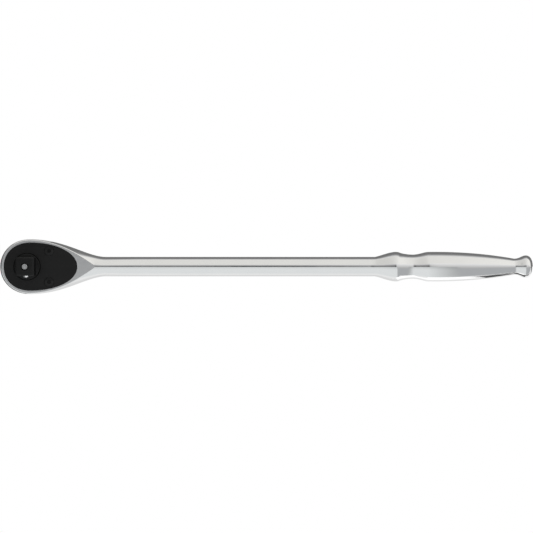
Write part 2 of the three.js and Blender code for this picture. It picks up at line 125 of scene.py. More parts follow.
# Levels along Z.
FACE_GAP = 0.05
HEAD_TOP = high("cover_plate").z + FACE_GAP
HEAD_BACK = low("drive_gear").z
MID = (HEAD_TOP + HEAD_BACK) / 2
HEAD_THICKNESS = HEAD_TOP - HEAD_BACK
LEDGE = low("cover_gasket").z - FACE_GAP
FLOOR = HEAD_BACK + 2.4
PLATE_BOTTOM = low("cover_plate").z
PLATE_TOP = high("cover_plate").z
GEAR_BOTTOM = FLOOR + 0.45
GEAR_TOP = GEAR_BOTTOM + 6.6
COLLAR_TOP = -10.6

# Cover plate and its recess. A pull is a curve's reach along X at the widest point and along Y at its end.
PLATE_NOSE_X = low("cover_plate").x
PLATE_END_X = high("cover_plate").x
PLATE_HALF_WIDTH = high("cover_plate").y
PLATE_WIDEST_X = 2.1
PLATE_NOSE_PULL = (8.6, 7.5)
PLATE_END_PULL = (12, 7.9)
RECESS_GAP = 0.09
RIM_CHAMFER = 0.09
PLATE_EDGE = 0.18
PLATE_FOOT = 0.1

# Play between fitted parts, and the head's inside.
PLAY = 0.15
POCKET_HALF = 6.1
POCKET_BEND_X = 18
LEVER_ROOM_R = 3.6
SEAL_SEAT_R = 7.3
SEAL_SEAT_DEPTH = 0.7
PIVOT_HOLE_DEPTH = 1.3
SCREW_HOLE_R = 1.325

# Drive gear.
SQUARE = 9.525
SQUARE_CORNER = 0.8
COLLAR_R = 6.8
GEAR_ROOT_R = 10.75
GEAR_TIP_R = 11.3
GEAR_POCKET_R = 11.6
TEETH = 72
BOSS_R = 6.0
BUTTON_BORE_R = 4.75
SPRING_SEAT = HEAD_BACK + 5.6
PIN_R = 1.65
BALL_R = 1.9
BALL = Vector((0, -3.9, -5.3))

# Pawl, lever and screws.
PAWL_X = 14.6
PAWL_PIN_R = 1.15
LEVER_X = 20.4
LEVER_SHAFT_R = 2.6
LEVER_HUB_R = 5.0
LEVER_ARM = 8.5
LEVER_TAB_R = 2.7
LEVER_ANGLE = math.radians(-25)
RIB_HEIGHT = 0.28
LEVER_FACE = low("reverse_lever").z + RIB_HEIGHT
PLUNGER_R = 0.85
PLUNGER_REACH = 3.3
PLUNGER_Z = FLOOR + 3.7
SCREW_X = 11.45
SCREW_Y = 8.1
SCREW_R = 1.25
SCREW_HEAD_R = 2.45
SCREW_HEAD_DEPTH = 1.25
SCREW_LENGTH = 6.5
SCREW_PLACES = ((SCREW_X, SCREW_Y), (SCREW_X, -SCREW_Y))

# How a mesh is welded and where its shading breaks.
WELD = 0.0005
SHARP_ANGLE = math.radians(33)
ROUND_STEPS = 96

# The middle part of a noise's range, which a finish follows.
NOISE_LOW, NOISE_HIGH = 0.3, 0.7


# ---------- materials ----------


class Tree:
    """A node tree, with short calls for its nodes."""

    def __init__(self, tree):
        self.tree = tree

    def node(self, kind, inputs=None, **settings):
        """A node of a full type or a shader node's short one, with its inputs set or linked."""
        made = self.tree.nodes.new(kind if "Node" in kind else "ShaderNode" + kind)
        for name, value in settings.items():
            setattr(made, name, value)
        for name, value in (inputs or {}).items():
            if isinstance(value, bpy.types.NodeSocket):
                self.tree.links.new(value, made.inputs[name])
            else:
                made.inputs[name].default_value = value
        return made

    def math(self, operation, first, second):
        return self.node("Math", {0: first, 1: second}, operation=operation).outputs[0]

    def spread(self, value, from_low, from_high, to_low, to_high):
        """A value carried from one range to another."""
        ends = {"From Min": from_low, "From Max": from_high, "To Min": to_low, "To Max": to_high}
        return self.node("MapRange", {"Value": value, **ends}).outputs["Result"]

    def blend(self, share, first, second):
        """Two colours, each fixed or from another node, mixed by a share."""
        inputs = {0: share}
        for socket, colour in ((6, first), (7, second)):
            inputs[socket] = colour if isinstance(colour, bpy.types.NodeSocket) else (*colour, 1)
        return self.node("Mix", inputs, data_type="RGBA").outputs[2]


class Surface(Tree):
    """A material, with short calls for what its finish needs."""

    def __init__(self, name, **values):
        self.material = bpy.data.materials.new(name)
        self.material.use_nodes = True
        super().__init__(self.material.node_tree)
        self.shader = self.tree.nodes["Principled BSDF"]
        for label, value in values.items():
            self.shader.inputs[label.replace("_", " ")].default_value = value

    def link(self, output, name):
        self.tree.links.new(output, self.shader.inputs[name])

    def place(self, stretch=(1, 1, 1)):
        """Object coordinates, stretched."""
        coordinates = self.node("TexCoord").outputs["Object"]
        return self.node("Mapping", {"Vector": coordinates, "Scale": stretch}).outputs["Vector"]

    def noise(self, scale, stretch=(1, 1, 1), detail=3.0, roughness=0.5):
        inputs = {"Vector": self.place(stretch), "Scale": scale, "Detail": detail, "Roughness": roughness}
        return self.node("TexNoise", inputs).outputs["Fac"]

    def follow(self, noise, to_low, to_high):
        """A range that follows the middle part of a noise."""
        return self.spread(noise, NOISE_LOW, NOISE_HIGH, to_low, to_high)

    def colour(self, share, first, second):
        self.link(self.blend(share, first, second), "Base Color")

    def bump(self, height, strength, distance):
        inputs = {"Height": height, "Strength": strength, "Distance": distance}
        self.link(self.node("Bump", inputs).outputs["Normal"], "Normal")


def polished_chrome():
    """Bright plate over a polished forging: faint polishing lines along the handle and slight haze."""
    s = Surface("polished_chrome", Metallic=1.0)
    haze = s.noise(90, detail=4)
    s.colour(haze, (0.84, 0.845, 0.85), (0.885, 0.885, 0.88))
    lines = s.noise(2600, stretch=(0.03, 1, 1), detail=5, roughness=0.6)
    s.link(s.math("ADD", s.follow(haze, 0.0, 0.02), s.follow(lines, 0.085, 0.125)), "Roughness")
    s.bump(lines, 0.03, 0.00002)
    return s.material


def satin_face():
    """The head's flat faces: the same plate over a fine blasted surface."""
    s = Surface("satin_chrome_face", Metallic=1.0)
    s.colour(s.noise(260, detail=5), (0.56, 0.565, 0.575), (0.64, 0.645, 0.655))
    grain = s.noise(9000, detail=2)
    s.link(s.follow(grain, 0.34, 0.46), "Roughness")
    s.bump(grain, 0.25, 0.00002)
    return s.material


def black_finish(name, dark, light, worn, roughness, grain_scale):
    """Black oxide over steel, with a fine grain and edges rubbed a little lighter."""
    s = Surface(name, Metallic=0.0, IOR=1.45, Specular_IOR_Level=0.28)
    edge = s.spread(s.node("NewGeometry").outputs["Pointiness"], 0.52, 0.60, 0.0, 1.0)
    s.colour(edge, s.blend(s.noise(420, detail=5), dark, light), (worn, worn, worn))
    grain = s.noise(grain_scale)
    s.link(s.follow(grain, roughness - 0.06, roughness + 0.08), "Roughness")
    s.bump(grain, 0.3, 0.00003)
    return s.material


def bright_steel():
    """Ground steel with fine turning rings about Z."""
    s = Surface("bright_steel", Metallic=1.0)
    inputs = {"Vector": s.place(), "Scale": 2600.0, "Distortion": 1.5, "Detail": 2.0}
    rings = s.node("TexWave", inputs, wave_type="RINGS", rings_direction="Z").outputs["Fac"]
    s.colour(s.noise(700), (0.58, 0.585, 0.59), (0.68, 0.68, 0.685))
    s.link(s.spread(rings, 0.0, 1.0, 0.2, 0.32), "Roughness")
    s.bump(rings, 0.08, 0.00001)
    return s.material


def mirror_ball():
    """A polished bearing ball with a faint film of oil."""
    s = Surface("bearing_ball_steel", Metallic=1.0)
    film = s.noise(900, detail=4)
    s.colour(film, (0.78, 0.78, 0.78), (0.86, 0.86, 0.855))
    s.link(s.follow(film, 0.06, 0.12), "Roughness")
    return s.material


def spring_steel():
    """Oiled spring steel with drawn streaks."""
    s = Surface("spring_steel", Metallic=1.0)
    streak = s.noise(1500, detail=4)
    s.colour(streak, (0.36, 0.36, 0.365), (0.52, 0.515, 0.51))
    s.link(s.follow(streak, 0.3, 0.42), "Roughness")
    s.bump(streak, 0.1, 0.00001)
    return s.material


def seal_rubber():
    """Black nitrile with a faint bloom."""
    s = Surface("seal_rubber", Metallic=0.0, Specular_IOR_Level=0.4)
    bloom = s.noise(1200, detail=4)
    s.colour(bloom, (0.012, 0.012, 0.013), (0.028, 0.028, 0.029))
    s.link(s.follow(bloom, 0.55, 0.75), "Roughness")
    s.bump(s.noise(6000), 0.15, 0.00001)
    return s.material


def gasket_fibre():
    """Pressed fibre sheet with short strands."""
    s = Surface("gasket_fibre", Metallic=0.0, Specular_IOR_Level=0.2)
    strands = s.noise(2400, stretch=(1, 0.25, 1), detail=6, roughness=0.7)
    s.colour(strands, (0.07, 0.063, 0.055), (0.17, 0.155, 0.135))
    s.link(s.follow(strands, 0.8, 0.95), "Roughness")
    s.bump(strands, 0.4, 0.00003)
    return s.material


chrome = polished_chrome()
satin = satin_face()
cover_black = black_finish(
    "satin_black_cover", (0.006, 0.006, 0.0063), (0.0095, 0.0095, 0.0098), 0.011, 0.34, 7000
)
screw_black = black_finish(
    "black_screw_steel", (0.004, 0.004, 0.0045), (0.008, 0.008, 0.0085), 0.03, 0.3, 5000
)
drive_black = black_finish(
    "black_drive_steel", (0.002, 0.002, 0.0021), (0.006, 0.006, 0.0062), 0.014, 0.27, 4200
)
control_black = black_finish(
    "black_control_steel", (0.006, 0.006, 0.0065), (0.013, 0.013, 0.0135), 0.04, 0.32, 6000
)
bright = bright_steel()
ball_steel = mirror_ball()
springs = spring_steel()
rubber = seal_rubber()
fibre = gasket_fibre()


# ---------- making meshes ----------


class Shell:
    """The faces of one closed piece, gathered in millimetres and welded into one mesh."""

    def __init__(self):
        self.bm = bmesh.new()
        self.patch = self.bm.faces.layers.int.new("patch")
        self.patches = 0

    def grid(self, rows, around=False):
        """Quads between rows of points, all of one length; around joins each row's end to its start."""
        made = [[self.bm.verts.new(p) for p in row] for row in rows]
        count = len(rows[0])
        for first, second in zip(made, made[1:]):
            for k in range(count if around else count - 1):
                n = (k + 1) % count
                self._face([first[k], first[n], second[n], second[k]])

    def sweep(self, outline, profile):
        """A wall round an outline: each (offset, z) of the profile gives one loop of it."""
        self.grid([[(x, y, z) for x, y in outline(offset)] for offset, z in profile], True)

    def turn(self, profile, count=ROUND_STEPS, x=0.0, y=0.0):
        """A profile of (radius, z) turned about an upright axis."""
        self.sweep(lambda radius: circle(radius, count, x, y), profile)

    def fill(self, loops, z, slot=0):
        """A flat face inside the first loop, with the other loops as holes."""
        flat = [[Vector((x, y, z)) for x, y in loop] for loop in loops]
        verts = [self.bm.verts.new(p) for loop in flat for p in loop]
        self.patches += 1
        for triangle in tessellate_polygon(flat):
            self._face([verts[i] for i in triangle], slot, self.patches)

    def _face(self, verts, slot=0, patch=0):
        face = self.bm.faces.new(verts)
        face.material_index = slot
        face.smooth = True
        face[self.patch] = patch

    def piece(self, name, *materials, turn=None):
        """The finished object, its mesh in metres, with sharp edges where faces meet at an angle."""
        bmesh.ops.remove_doubles(self.bm, verts=self.bm.verts, dist=WELD)
        bmesh.ops.dissolve_degenerate(self.bm, edges=self.bm.edges, dist=WELD / 5)
        bmesh.ops.recalc_face_normals(self.bm, faces=self.bm.faces)
        mark_sharp(self.bm, self.patch)
        self.bm.transform(Matrix.Scale(MM, 4) @ (turn or Matrix.Identity(4)))
        mesh = bpy.data.meshes.new(name)
        self.bm.to_mesh(mesh)
        self.bm.free()
        return object_of(name, mesh, materials)


def mark_sharp(bm, patch=None):
    """Smooth faces, with sharp edges at corners and round the flat faces."""
    for edge in bm.edges:
        if len(edge.link_faces) == 2:
            first, second = edge.link_faces
            apart = patch is not None and first[patch] != second[patch]
            edge.smooth = not apart and edge.calc_face_angle(0) < SHARP_ANGLE


def object_of(name, mesh, materials):
    made = bpy.data.objects.new(name, mesh)
    bpy.context.scene.collection.objects.link(made)
    for material in materials:
        mesh.materials.append(material)
    return made


def circle(radius, count=ROUND_STEPS, x=0.0, y=0.0):
    angles = [2 * math.pi * k / count for k in range(count)]
    return [(x + radius * math.cos(a), y + radius * math.sin(a)) for a in angles]


def arc(x, y, radius, start, end, steps):
    """Points on an arc, both ends included; angles in radians."""
    angles = [start + (end - start) * k / steps for k in range(steps + 1)]
    return [(x + radius * math.cos(a), y + radius * math.sin(a)) for a in angles]


def curve(a, b, c, d, steps):
    """The points after the first along a cubic curve."""
    a, b, c, d = (Vector(p) for p in (a, b, c, d))
    made = []
    for k in range(1, steps + 1):
        t = k / steps
        s = 1 - t
        made.append(s**3 * a + 3 * s * s * t * b + 3 * s * t * t * c + t**3 * d)
    return made


def bend(a, b, c, steps):
    """Points along a quadratic curve, both ends included."""
    made = []
    for k in range(steps + 1):
        t = k / steps
        made.append((1 - t) ** 2 * a + 2 * t * (1 - t) * b + t * t * c)
    return made


def rounded(offset, z, radius, z_step, steps=4):
    """Profile points that round an outer edge: from the wall at z to the face at z + z_step's end."""
    made = []
    for k in range(steps + 1):
        a = math.pi / 2 * k / steps
        made.append((offset - radius * (1 - math.cos(a)), z + z_step * radius * math.sin(a)))
    return made


def evaluated(piece):
    """Replaces a piece's mesh with what its modifiers make of it."""
    depsgraph = bpy.context.evaluated_depsgraph_get()
    mesh = bpy.data.meshes.new_from_object(piece.evaluated_get(depsgraph))
    piece.modifiers.clear()
    piece.data = mesh
    return piece


def resharpened(piece):
    bm = bmesh.new()
    bm.from_mesh(piece.data)
    for face in bm.faces:
        face.smooth = True
    mark_sharp(bm)
    bm.to_mesh(piece.data)
    bm.free()
    return piece


def cut(piece, cutter):
    """Cuts one closed piece out of another."""
    modifier = piece.modifiers.new("cut", "BOOLEAN")
    modifier.operation = "DIFFERENCE"
    modifier.solver = "EXACT"
    modifier.object = cutter
    evaluated(piece)
    bpy.data.objects.remove(cutter)
    return resharpened(piece)


def finished(piece, body, slot, *nodes):
    """Puts a piece on the body it rides on and hides the CAD nodes it stands for. The slot is not used."""
    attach(piece, body)
    if nodes:
        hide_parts(*nodes)
    return piece


def moved(piece, matrix):
    """Moves a piece's mesh, leaving its object at the origin."""
    piece.data.transform(matrix)
    piece.data.update()
    return piece


def axis_turn(angle, x=0.0):
    """A turn about the upright axis at x, in millimetres, for a shape drawn about the origin."""
    return Matrix.Translation((x, 0, 0)) @ Matrix.Rotation(angle, 4, "Z")


def metres(matrix):
    """The same placement with its shift in metres."""
    made = matrix.copy()
    made.translation *= MM
    return made


# ---------- geometry node trees ----------


class Recipe(Tree):
    """A geometry node tree with named inputs, put on a piece and then turned into a plain mesh."""

    def __init__(self, name, inputs):
        super().__init__(bpy.data.node_groups.new(name, "GeometryNodeTree"))
        self.tree.is_modifier = True
        self.sockets = {}
        self.tree.interface.new_socket("Geometry", in_out="INPUT", socket_type="NodeSocketGeometry")
        for label, kind in inputs.items():
            made = self.tree.interface.new_socket(label, in_out="INPUT", socket_type="NodeSocket" + kind)
            self.sockets[label] = made.identifier
        self.tree.interface.new_socket("Geometry", in_out="OUTPUT", socket_type="NodeSocketGeometry")
        self.start = self.tree.nodes.new("NodeGroupInput")
        self.end = self.tree.nodes.new("NodeGroupOutput")

    def value(self, label):
        return self.start.outputs[label]

    def close(self, geometry):
        """Ends the tree: instances made real, then the material."""
        real = self.node("GeometryNodeRealizeInstances", {"Geometry": geometry}).outputs[0]
        done = self.node("GeometryNodeSetMaterial", {"Geometry": real, "Material": self.value("Material")})
        self.tree.links.new(done.outputs[0], self.end.inputs[0])

    def make(self, piece, **values):
        modifier = piece.modifiers.new(self.tree.name, "NODES")
        modifier.node_group = self.tree
        for label, value in values.items():
            modifier[self.sockets[label.replace("_", " ")]] = value
        evaluated(piece)
        return resharpened(piece)


def coil_recipe():
    """A coil spring: a spiral about Z with a round wire."""
    r = Recipe("coil_spring", {
        "Radius": "Float", "Wire Radius": "Float", "Height": "Float", "Turns": "Float",
        "Steps": "Int", "Material": "Material",
    })
    spiral = r.node("GeometryNodeCurveSpiral", {
        "Resolution": r.value("Steps"), "Rotations": r.value("Turns"), "Start Radius": r.value("Radius"),
        "End Radius": r.value("Radius"), "Height": r.value("Height"),
    })
    wire = r.node("GeometryNodeCurvePrimitiveCircle", {"Resolution": 14, "Radius": r.value("Wire Radius")})
    tube = r.node("GeometryNodeCurveToMesh", {
        "Curve": spiral.outputs[0], "Profile Curve": wire.outputs[0], "Fill Caps": True,
    })
    r.close(tube.outputs[0])
    return r


def tooth_recipe():
    """A ring of straight V teeth: three-sided prisms stood round a circle."""
    r = Recipe("gear_teeth", {
        "Count": "Int", "Root Radius": "Float", "Depth": "Float", "Width": "Float", "Length": "Float",
        "Middle": "Float", "Material": "Material",
    })
    prism = r.node("GeometryNodeMeshCylinder", {"Vertices": 3, "Radius": 1.0, "Depth": 1.0})
    shape = r.node("CombineXYZ", {
        0: r.math("DIVIDE", r.value("Depth"), 1.5),
        1: r.math("DIVIDE", r.value("Width"), math.sqrt(3)),
        2: r.value("Length"),
    })
    tooth = r.node("GeometryNodeTransform", {"Geometry": prism.outputs[0], "Scale": shape.outputs[0]})
    stand = r.math("ADD", r.value("Root Radius"), r.math("DIVIDE", r.value("Depth"), 3.0))
    ring = r.node("GeometryNodeMeshCircle", {"Vertices": r.value("Count"), "Radius": stand})
    turn = r.node("FunctionNodeAxesToRotation", {
        "Primary Axis": (0.0, 0.0, 1.0),
        "Secondary Axis": r.node("GeometryNodeInputPosition").outputs[0],
    }, primary_axis="Z", secondary_axis="X")
    placed = r.node("GeometryNodeInstanceOnPoints", {
        "Points": ring.outputs[0], "Instance": tooth.outputs[0], "Rotation": turn.outputs[0],
    })
    lift = r.node("CombineXYZ", {2: r.value("Middle")})
    moved = r.node("GeometryNodeTransform", {"Geometry": placed.outputs[0], "Translation": lift.outputs[0]})
    r.close(moved.outputs[0])
    return r


def row_recipe():
    """Copies of the piece itself in a row along Y, centred on the piece."""
    r = Recipe("row_of_copies", {"Count": "Int", "Spacing": "Float", "Material": "Material"})
    reach = r.math("MULTIPLY", r.value("Spacing"), r.math("SUBTRACT", r.value("Count"), 1.0))
    first = r.node("CombineXYZ", {1: r.math("MULTIPLY", reach, -0.5)})
    step = r.node("CombineXYZ", {1: r.value("Spacing")})
    line = r.node("GeometryNodeMeshLine", {
        "Count": r.value("Count"), "Start Location": first.outputs[0], "Offset": step.outputs[0],
    })
    placed = r.node("GeometryNodeInstanceOnPoints", {
        "Points": line.outputs[0], "Instance": r.value("Geometry"),
    })
    r.close(placed.outputs[0])
    return r


coils = coil_recipe()
teeth_ring = tooth_recipe()
row = row_recipe()


# ---------- handle: head, shank and grip ----------


def handle_outline():
    """Points (x, half width) from the nose to the rear end, with one at the arrow's tip."""
    points = [Vector((NOSE_X, 0))]
    for first, second, end, steps in HANDLE_CURVES:
        points += curve(points[-1], first, second, end, steps)
    after = next(k for k, p in enumerate(points) if p.x > ARROW_TIP_X)
    before, behind = points[after - 1], points[after]
    share = (ARROW_TIP_X - before.x) / (behind.x - before.x)
    points.insert(after, before.lerp(behind, share))
    return points


def half_depth(x, half_width):
    """Half the depth of the section before the head's flats are cut."""
    half = HEAD_THICKNESS / 2
    if x < ARROW_TIP_X:
        return half + HEAD_BULGE * (ARROW_TIP_X - max(x, HEAD_WIDEST_X)) ** HEAD_BULGE_POWER
    if x < EASE_END_X:
        t = (x - ARROW_TIP_X) / (EASE_END_X - ARROW_TIP_X)
        return half - (half - SHANK_R) * t * t * (3 - 2 * t)
    return half_width


def edge_round(x):
    """How far the edge between wall and flat is rounded: most at the nose, none at the arrow's tip."""
    nose = min(1.0, max(0.0, (NOSE_ROUND_END_X - x) / NOSE_ROUND_LENGTH))
    tip = min(1.0, max(0.0, (ARROW_TIP_X - x) / TIP_FADE))
    return (EDGE_ROUND + NOSE_EXTRA_ROUND * nose) * tip


def wall_point(x, half_width, angle):
    """A point of the section's wall; ahead of the widest point the wall also leans back."""
    lean = math.cos(angle) ** NOSE_LEAN if x < HEAD_WIDEST_X else 1.0
    return Vector((
        HEAD_WIDEST_X + (x - HEAD_WIDEST_X) * lean,
        half_width * math.cos(angle),
        half_depth(x, half_width) * math.sin(angle),
    ))


def handle_sections():
    """For each outline point, the points of its section on the +Y side, from the back flat to the top one."""
    outline = handle_outline()
    tops = []
    for x, w in outline:
        flat = x < ARROW_TIP_X - 1e-6
        tops.append(math.asin(HEAD_THICKNESS / 2 / half_depth(x, w)) if flat else math.pi / 2)
    corners = [wall_point(x, w, top) for (x, w), top in zip(outline, tops)]
    sections = []
    for k, ((x, w), top) in enumerate(zip(outline, tops)):
        edge = edge_round(x)
        ahead = corners[min(k + 1, len(corners) - 1)]
        behind = corners[k - 1] if k else mirrored_y(ahead)
        along = (ahead - behind).normalized()
        flat = corners[k] + Vector((along.y, -along.x, 0)) * edge
        reach = top - (edge / half_depth(x, w) if edge else 0)
        wall = [wall_point(x, w, reach * (2 * j / WALL_STEPS - 1)) for j in range(WALL_STEPS + 1)]
        upper = bend(wall[-1], corners[k], flat, CORNER_STEPS)[1:]
        lower = [Vector((p.x, p.y, -p.z)) for p in reversed(upper)]
        sections.append([p + Vector((0, 0, MID)) for p in lower + wall + upper])
    return sections


def mirrored_y(p):
    return Vector((p.x, -p.y, p.z))


def flat_outline(sections, which):
    """The edge of the head's flat face, all the way round."""
    side = [s[which] for s in sections if s[which].x < ARROW_TIP_X + 1e-6]
    loop = side + [mirrored_y(p) for p in reversed(side[1:-1])]
    return [(p.x, p.y) for p in loop]


def egg(offset=0.0):
    """The cover plate's egg outline, grown by an offset."""
    nose, end, half = PLATE_NOSE_X - offset, PLATE_END_X + offset, PLATE_HALF_WIDTH + offset
    wide = (PLATE_WIDEST_X, -half)
    ahead, nose_side = PLATE_NOSE_PULL
    back, end_side = PLATE_END_PULL
    lower = curve((nose, 0), (nose, -nose_side), (PLATE_WIDEST_X - ahead, -half), wide, 60)
    lower += curve(wide, (PLATE_WIDEST_X + back, -half), (end, -end_side), (end, 0), 70)
    upper = [Vector((p.x, -p.y)) for p in reversed(lower[:-1])]
    return [tuple(p) for p in lower + upper + [Vector((nose, 0))]]


def pockets(offset=0.0):
    """The joined outline of the gear pocket and the pawl pocket, counter-clockwise."""
    half = POCKET_HALF + offset
    start = math.asin(half / (GEAR_POCKET_R + offset))
    loop = arc(0, 0, GEAR_POCKET_R + offset, start, 2 * math.pi - start, 120)
    room = LEVER_ROOM_R + offset
    side = bend(Vector((PAWL_X, -half)), Vector((POCKET_BEND_X, -half)), Vector((LEVER_X, -room)), 12)
    loop += [tuple(p) for p in side]
    loop += arc(LEVER_X, 0, room, -math.pi / 2, math.pi / 2, 32)[1:-1]
    loop += [(p.x, -p.y) for p in reversed(side)]
    return loop


def handle():
    shell = Shell()
    sections = handle_sections()
    shell.grid(sections)
    shell.grid([[mirrored_y(p) for p in section] for section in sections])

    rim = RECESS_GAP + RIM_CHAMFER
    shell.fill([flat_outline(sections, -1), egg(rim)], HEAD_TOP, 1)
    shell.sweep(egg, [(rim, HEAD_TOP), (RECESS_GAP, HEAD_TOP - RIM_CHAMFER), (RECESS_GAP, LEDGE)])
    screw_holes = [circle(SCREW_HOLE_R, 32, x, y) for x, y in SCREW_PLACES]
    shell.fill([egg(RECESS_GAP), pockets(), *screw_holes], LEDGE)
    drill_point = 0.6
    bottom = HEAD_TOP - SCREW_LENGTH - drill_point
    for x, y in SCREW_PLACES:
        shell.turn([(SCREW_HOLE_R, LEDGE), (SCREW_HOLE_R, bottom), (0, bottom - drill_point)], 32, x, y)

    boss_hole = BOSS_R + PLAY
    lever_hole = LEVER_SHAFT_R + PLAY
    pin_hole = PAWL_PIN_R + PLAY / 2
    pin_end = FLOOR - PIVOT_HOLE_DEPTH
    seat = FLOOR - SEAL_SEAT_DEPTH
    edge = HEAD_BACK + RIM_CHAMFER
    shell.sweep(pockets, [(0, LEDGE), (0, FLOOR)])
    floor_holes = [circle(SEAL_SEAT_R), circle(lever_hole, 64, LEVER_X), circle(pin_hole, 32, PAWL_X)]
    shell.fill([pockets(), *floor_holes], FLOOR)
    shell.turn([
        (SEAL_SEAT_R, FLOOR), (SEAL_SEAT_R, seat), (boss_hole, seat),
        (boss_hole, edge), (boss_hole + RIM_CHAMFER, HEAD_BACK),
    ])
    shell.turn([(lever_hole, FLOOR), (lever_hole, edge), (lever_hole + RIM_CHAMFER, HEAD_BACK)], 64, LEVER_X)
    shell.turn([(pin_hole, FLOOR), (pin_hole, pin_end), (0, pin_end)], 32, PAWL_X)
    back_holes = [circle(boss_hole + RIM_CHAMFER), circle(lever_hole + RIM_CHAMFER, 64, LEVER_X)]
    shell.fill([flat_outline(sections, 0), *back_holes], HEAD_BACK, 1)
    return shell.piece("forged_handle", chrome, satin)


finished(handle(), "handle", "polished_chrome", "handle_body")


# ---------- cover plate, gasket and screws ----------


def cover_plate():
    shell = Shell()
    hole = COLLAR_R + 0.2
    hole_chamfer = 0.15
    sink = SCREW_HEAD_R + PLAY
    sink_wall = 0.12
    through = SCREW_R + PLAY
    sinks = [circle(sink, 48, x, y) for x, y in SCREW_PLACES]
    shell.fill([egg(-PLATE_EDGE), circle(hole + hole_chamfer), *sinks], PLATE_TOP)
    rim = rounded(0, PLATE_TOP - PLATE_EDGE, PLATE_EDGE, 1)
    shell.sweep(egg, [(-PLATE_FOOT, PLATE_BOTTOM), (0, PLATE_BOTTOM + PLATE_FOOT), *rim])
    shell.turn([(hole, PLATE_BOTTOM), (hole, PLATE_TOP - hole_chamfer), (hole + hole_chamfer, PLATE_TOP)])
    for x, y in SCREW_PLACES:
        shell.turn([
            (sink, PLATE_TOP), (sink, PLATE_TOP - sink_wall),
            (through, PLATE_TOP - SCREW_HEAD_DEPTH), (through, PLATE_BOTTOM),
        ], 48, x, y)
    holes = [circle(through, 48, x, y) for x, y in SCREW_PLACES]
    shell.fill([egg(-PLATE_FOOT), circle(hole), *holes], PLATE_BOTTOM)
    return shell.piece("black_cover_plate", cover_black)


def gasket():
    shell = Shell()
    bottom, top = low("cover_gasket").z, high("cover_gasket").z
    hole = SCREW_R + PLAY
    setback = 0.02
    loops = [egg(), pockets(setback), *[circle(hole, 32, x, y) for x, y in SCREW_PLACES]]
    shell.fill(loops, bottom)
    shell.fill(loops, top)
    shell.sweep(egg, [(0, bottom), (0, top)])
    shell.sweep(pockets, [(setback, bottom), (setback, top)])
    for x, y in SCREW_PLACES:
        shell.turn([(hole, bottom), (hole, top)], 32, x, y)
    return shell.piece("fibre_gasket", fibre)


def hexagon(across_flats):
    """A hexagon's outline, each side cut into four equal steps."""
    corners = [Vector(p) for p in circle(across_flats / math.sqrt(3), 6)]
    loop = []
    for corner, following in zip(corners, corners[1:] + corners[:1]):
        loop += [tuple(corner.lerp(following, j / 4)) for j in range(4)]
    return loop


def screws():
    """One countersunk socket screw, copied to its two places."""
    shell = Shell()
    top = PLATE_TOP - FACE_GAP
    end = top - SCREW_LENGTH
    end_chamfer = 0.3
    head_edge = 0.14
    socket, socket_chamfer, socket_depth = 1.7, 0.08, 1.1
    shell.turn([
        (0, end), (SCREW_R - end_chamfer, end), (SCREW_R, end + end_chamfer),
        (SCREW_R, top - SCREW_HEAD_DEPTH), (SCREW_HEAD_R, top - head_edge - socket_chamfer),
        *rounded(SCREW_HEAD_R, top - head_edge, head_edge, 1, 3),
    ], 64)
    shell.fill([circle(SCREW_HEAD_R - head_edge, 64), hexagon(socket + 2 * socket_chamfer)], top)
    shell.sweep(lambda offset: hexagon(socket + 2 * offset), [
        (socket_chamfer, top), (0, top - socket_chamfer), (0, top - socket_depth),
    ])
    shell.fill([hexagon(socket)], top - socket_depth)
    screw = shell.piece("cover_screws", screw_black)
    row.make(screw, Count=2, Spacing=2 * SCREW_Y * MM, Material=screw_black)
    return moved(screw, Matrix.Translation((SCREW_X * MM, 0, 0)))


finished(cover_plate(), "handle", "black_cover", "cover_plate")
finished(gasket(), "handle", "gasket_fibre", "cover_gasket")
finished(screws(), "handle", "black_screw", "cover_screw_upper", "cover_screw_lower")


# ---------- drive gear ----------


def square_outline(offset=0.0):
    """The drive square with rounded corners."""
    half = SQUARE / 2 + offset
    corner = max(SQUARE_CORNER + offset, 0.1)
    inner = half - corner
    loop = []
    for k, (x, y) in enumerate(((inner, inner), (-inner, inner), (-inner, -inner), (inner, -inner))):
        loop += arc(x, y, corner, k * math.pi / 2, (k + 1) * math.pi / 2, 8)
    return loop


